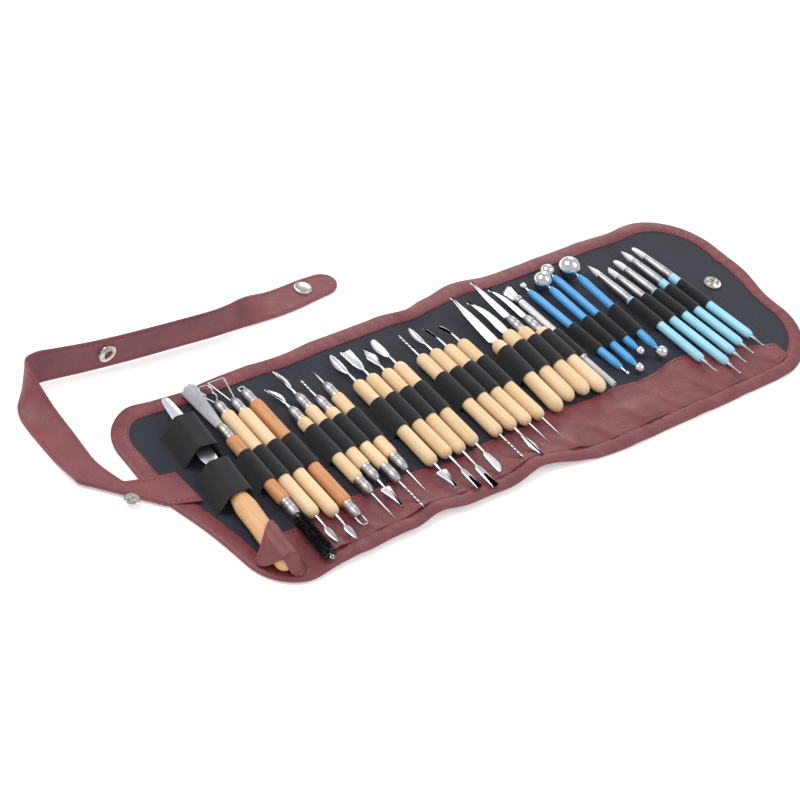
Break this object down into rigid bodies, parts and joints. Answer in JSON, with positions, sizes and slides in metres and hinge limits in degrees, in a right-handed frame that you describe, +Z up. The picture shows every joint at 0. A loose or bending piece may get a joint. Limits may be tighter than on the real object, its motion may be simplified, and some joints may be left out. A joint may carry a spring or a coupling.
{
  "type": "clay modelling tool roll",
  "caption": "Roll-up leatherette case laid open, with a strap, elastic loops and slide-in clay shapers, loop tools, blades, ball styluses and brushes.",
  "frame": {"origin": "centre of the case's underside, on the table", "axes": "+X along the case from the strap to the clay shapers, +Y towards the edge that the tools' tops point to, +Z up"},
  "size_m": [0.6775, 0.287, 0.03],
  "materials": {
    "beech": "sanded, oiled",
    "birch": "sanded, unvarnished",
    "elastic": "ribbed weave",
    "ferrule_aluminium": "drawn, satin",
    "leatherette": "pebbled, satin",
    "light_blue_plastic": "moulded",
    "lining_twill": "woven twill",
    "mid_blue_plastic": "moulded",
    "nickel": "plated",
    "silicone": "matt",
    "steel": "ground"
  },
  "bodies": {
    "case": {"outer_cover": "leatherette", "lining": "lining_twill", "edge_binding": "leatherette", "tip_pocket": "leatherette", "tool_elastic": "elastic", "knife_elastic_upper": "elastic", "knife_elastic_lower": "elastic", "strap_root": "leatherette", "lining_stud": "nickel", "fold_stud": "nickel"},
    "strap_run": {"strap_run": "leatherette"},
    "strap_end": {"strap_end": "leatherette", "strap_cap": "nickel", "strap_socket": "nickel"},
    "palette_knife": {"palette_knife": "beech"},
    "cleaning_brush": {"cleaning_brush": "beech"},
    "ribbon_tool_round": {"ribbon_tool_round": "birch"},
    "ribbon_tool_square": {"ribbon_tool_square": "birch"},
    "mini_loop_tool": {"mini_loop_tool": "beech"},
    "sickle_needle_tool": {"sickle_needle_tool": "birch"},
    "leaf_knife_tool": {"leaf_knife_tool": "birch"},
    "twist_drill_ferruled": {"twist_drill_ferruled": "birch"},
    "needle_tool_ferruled": {"needle_tool_ferruled": "birch"},
    "leaf_spatula_tool": {"leaf_spatula_tool": "birch"},
    "square_scraper_tool": {"square_scraper_tool": "birch"},
    "diamond_tool": {"diamond_tool": "birch"},
    "cupped_scraper_tool": {"cupped_scraper_tool": "birch"},
    "twist_drill_tool": {"twist_drill_tool": "birch"},
    "spoon_spear_tool": {"spoon_spear_tool": "birch"},
    "dental_pick_tool": {"dental_pick_tool": "birch"},
    "hook_needle_tool": {"hook_needle_tool": "birch"},
    "straight_carving_knife": {"straight_carving_knife": "birch"},
    "curved_carving_knife": {"curved_carving_knife": "birch"},
    "ferruled_straight_knife": {"ferruled_straight_knife": "birch"},
    "ferruled_curved_knife": {"ferruled_curved_knife": "birch"},
    "wire_texture_brush": {"wire_texture_brush": "ferrule_aluminium"},
    "ball_stylus_smallest": {"ball_stylus_smallest": "mid_blue_plastic"},
    "ball_stylus_large": {"ball_stylus_large": "mid_blue_plastic"},
    "ball_stylus_medium": {"ball_stylus_medium": "mid_blue_plastic"},
    "ball_stylus_largest": {"ball_stylus_largest": "mid_blue_plastic"},
    "shaper_cone": {"shaper_cone_tip": "silicone", "shaper_cone_ferrule": "ferrule_aluminium", "shaper_cone_handle": "light_blue_plastic", "shaper_cone_stylus": "steel"},
    "shaper_chisel": {"shaper_chisel_tip": "silicone", "shaper_chisel_ferrule": "ferrule_aluminium", "shaper_chisel_handle": "light_blue_plastic", "shaper_chisel_stylus": "steel"},
    "shaper_cup_round": {"shaper_cup_round_tip": "silicone", "shaper_cup_round_ferrule": "ferrule_aluminium", "shaper_cup_round_handle": "light_blue_plastic", "shaper_cup_round_stylus": "steel"},
    "shaper_taper": {"shaper_taper_tip": "silicone", "shaper_taper_ferrule": "ferrule_aluminium", "shaper_taper_handle": "light_blue_plastic", "shaper_taper_stylus": "steel"},
    "shaper_flat": {"shaper_flat_tip": "silicone", "shaper_flat_ferrule": "ferrule_aluminium", "shaper_flat_handle": "light_blue_plastic", "shaper_flat_stylus": "steel"}
  },
  "joints": [
    {"name": "strap_lift", "type": "hinge", "parent": "case", "child": "strap_run", "pos_m": [-0.347, 0.0571, 0.002], "axis": [1, 0, 0], "range_deg": [0, 90]},
    {"name": "strap_swing", "type": "hinge", "parent": "strap_run", "child": "strap_end", "pos_m": [-0.336, 0.161, 0], "axis": [0, 0, 1], "range_deg": [0, 100]},
    {"name": "palette_knife_slide", "type": "slide", "parent": "case", "child": "palette_knife", "axis": [0.1063, 0.9943, 0], "range_m": [0, 0.038]},
    {"name": "cleaning_brush_slide", "type": "slide", "parent": "case", "child": "cleaning_brush", "axis": [0.0489, 0.9988, 0], "range_m": [0, 0.04]},
    {"name": "ribbon_tool_round_slide", "type": "slide", "parent": "case", "child": "ribbon_tool_round", "axis": [0.0419, 0.9991, 0], "range_m": [0, 0.04]},
    {"name": "ribbon_tool_square_slide", "type": "slide", "parent": "case", "child": "ribbon_tool_square", "axis": [0.0349, 0.9994, 0], "range_m": [0, 0.04]},
    {"name": "mini_loop_tool_slide", "type": "slide", "parent": "case", "child": "mini_loop_tool", "axis": [0.0279, 0.9996, 0], "range_m": [0, 0.055]},
    {"name": "sickle_needle_tool_slide", "type": "slide", "parent": "case", "child": "sickle_needle_tool", "axis": [0.0105, 0.9999, 0], "range_m": [0, 0.06]},
    {"name": "leaf_knife_tool_slide", "type": "slide", "parent": "case", "child": "leaf_knife_tool", "axis": [0.0175, 0.9998, 0], "range_m": [0, 0.05]},
    {"name": "twist_drill_ferruled_slide", "type": "slide", "parent": "case", "child": "twist_drill_ferruled", "axis": [0.007, 1, 0], "range_m": [0, 0.06]},
    {"name": "needle_tool_ferruled_slide", "type": "slide", "parent": "case", "child": "needle_tool_ferruled", "axis": [0.0262, 0.9997, 0], "range_m": [0, 0.06]},
    {"name": "leaf_spatula_tool_slide", "type": "slide", "parent": "case", "child": "leaf_spatula_tool", "axis": [0.0297, 0.9996, 0], "range_m": [0, 0.05]},
    {"name": "square_scraper_tool_slide", "type": "slide", "parent": "case", "child": "square_scraper_tool", "axis": [0.0122, 0.9999, 0], "range_m": [0, 0.05]},
    {"name": "diamond_tool_slide", "type": "slide", "parent": "case", "child": "diamond_tool", "axis": [0.0332, 0.9995, 0], "range_m": [0, 0.055]},
    {"name": "cupped_scraper_tool_slide", "type": "slide", "parent": "case", "child": "cupped_scraper_tool", "axis": [0.0192, 0.9998, 0], "range_m": [0, 0.05]},
    {"name": "twist_drill_tool_slide", "type": "slide", "parent": "case", "child": "twist_drill_tool", "axis": [0.007, 1, 0], "range_m": [0, 0.06]},
    {"name": "spoon_spear_tool_slide", "type": "slide", "parent": "case", "child": "spoon_spear_tool", "axis": [-0.007, 1, 0], "range_m": [0, 0.108]},
    {"name": "dental_pick_tool_slide", "type": "slide", "parent": "case", "child": "dental_pick_tool", "axis": [-0.014, 0.9999, 0], "range_m": [0, 0.1]},
    {"name": "hook_needle_tool_slide", "type": "slide", "parent": "case", "child": "hook_needle_tool", "axis": [-0.0105, 0.9999, 0], "range_m": [0, 0.102]},
    {"name": "straight_carving_knife_slide", "type": "slide", "parent": "case", "child": "straight_carving_knife", "axis": [0.0558, 0.9984, 0], "range_m": [0, 0.077]},
    {"name": "curved_carving_knife_slide", "type": "slide", "parent": "case", "child": "curved_carving_knife", "axis": [0.0523, 0.9986, 0], "range_m": [0, 0.072]},
    {"name": "ferruled_straight_knife_slide", "type": "slide", "parent": "case", "child": "ferruled_straight_knife", "axis": [0.0175, 0.9998, 0], "range_m": [0, 0.072]},
    {"name": "ferruled_curved_knife_slide", "type": "slide", "parent": "case", "child": "ferruled_curved_knife", "axis": [0.0035, 1, 0], "range_m": [0, 0.076]},
    {"name": "wire_texture_brush_slide", "type": "slide", "parent": "case", "child": "wire_texture_brush", "axis": [-0.0244, 0.9997, 0], "range_m": [0, 0.074]},
    {"name": "ball_stylus_smallest_slide", "type": "slide", "parent": "case", "child": "ball_stylus_smallest", "axis": [-0.0558, 0.9984, 0], "range_m": [0, 0.066]},
    {"name": "ball_stylus_large_slide", "type": "slide", "parent": "case", "child": "ball_stylus_large", "axis": [-0.0331, 0.999, 0.0314], "range_m": [0, 0.027]},
    {"name": "ball_stylus_medium_slide", "type": "slide", "parent": "case", "child": "ball_stylus_medium", "axis": [-0.0419, 0.999, 0.0183], "range_m": [0, 0.011]},
    {"name": "ball_stylus_largest_slide", "type": "slide", "parent": "case", "child": "ball_stylus_largest", "axis": [-0.014, 0.9993, 0.034], "range_m": [0, 0.02]},
    {"name": "shaper_cone_slide", "type": "slide", "parent": "case", "child": "shaper_cone", "axis": [-0.0454, 0.999, 0], "range_m": [0, 0.102]},
    {"name": "shaper_chisel_slide", "type": "slide", "parent": "case", "child": "shaper_chisel", "axis": [-0.0732, 0.9973, 0], "range_m": [0, 0.114]},
    {"name": "shaper_cup_round_slide", "type": "slide", "parent": "case", "child": "shaper_cup_round", "axis": [-0.0819, 0.9966, 0], "range_m": [0, 0.106]},
    {"name": "shaper_taper_slide", "type": "slide", "parent": "case", "child": "shaper_taper", "axis": [-0.0802, 0.9968, 0], "range_m": [0, 0.101]},
    {"name": "shaper_flat_slide", "type": "slide", "parent": "case", "child": "shaper_flat", "axis": [-0.1011, 0.9949, 0], "range_m": [0, 0.098]}
  ]
}
